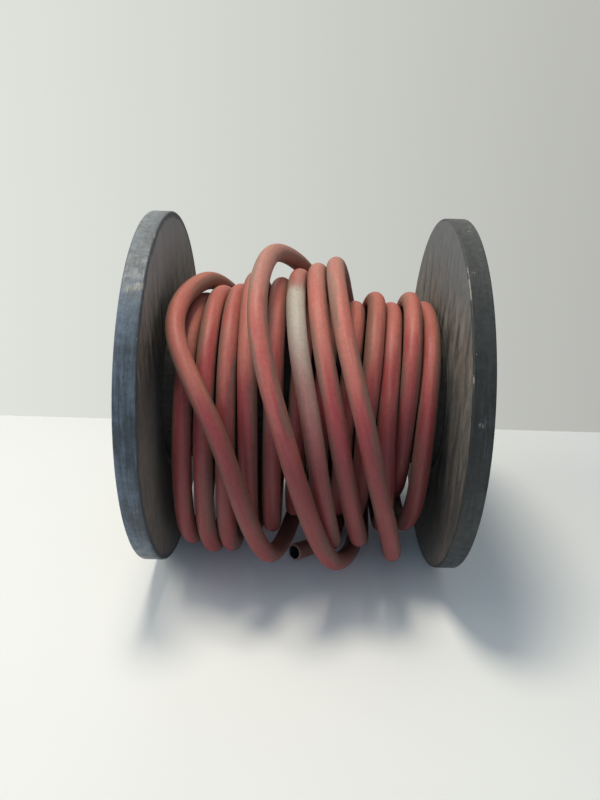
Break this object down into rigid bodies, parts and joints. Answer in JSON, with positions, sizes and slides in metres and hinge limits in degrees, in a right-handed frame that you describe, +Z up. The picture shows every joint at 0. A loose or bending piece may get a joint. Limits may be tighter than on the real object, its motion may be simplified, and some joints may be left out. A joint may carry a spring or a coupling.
{
  "type": "hose reel",
  "caption": "Wooden drum reel standing on its round cheeks, wound with a length of faded red rubber hose in loose, leaning turns.",
  "frame": {"origin": "on the floor, under the middle of the spool between its cheeks", "axes": "+X along the spool's axis to the right cheek, +Z up; the pictured side, where the loose loops lean, is -Y"},
  "size_m": [0.431, 0.5, 0.4999],
  "materials": {
    "cheek_wood": "black paint on the rim, weathered grey grain on the faces",
    "drum_paint": "black paint",
    "plywood": "bare",
    "steel": "zinc plated, dull",
    "red_rubber": "matte, faded and dusty"
  },
  "bodies": {
    "root": {"left_cheek": "cheek_wood", "right_cheek": "cheek_wood", "left_drum_head": "plywood", "right_drum_head": "plywood", "stave_01": "drum_paint", "stave_02": "drum_paint", "stave_03": "drum_paint", "stave_04": "drum_paint", "stave_05": "drum_paint", "stave_06": "drum_paint", "stave_07": "drum_paint", "stave_08": "drum_paint", "stave_09": "drum_paint", "stave_10": "drum_paint", "stave_11": "drum_paint", "stave_12": "drum_paint", "left_stave_screws": "steel", "right_stave_screws": "steel", "arbor_tube": "steel", "left_hub_plate": "steel", "right_hub_plate": "steel", "left_hub_screws": "steel", "right_hub_screws": "steel", "tie_rod_1": "steel", "tie_rod_2": "steel", "tie_rod_3": "steel", "tie_rod_4": "steel", "left_rod_washers": "steel", "right_rod_washers": "steel", "left_rod_nuts": "steel", "right_rod_nuts": "steel", "hose": "red_rubber", "hose_saddle": "steel", "hose_saddle_screw": "steel"}
  },
  "joints": []
}
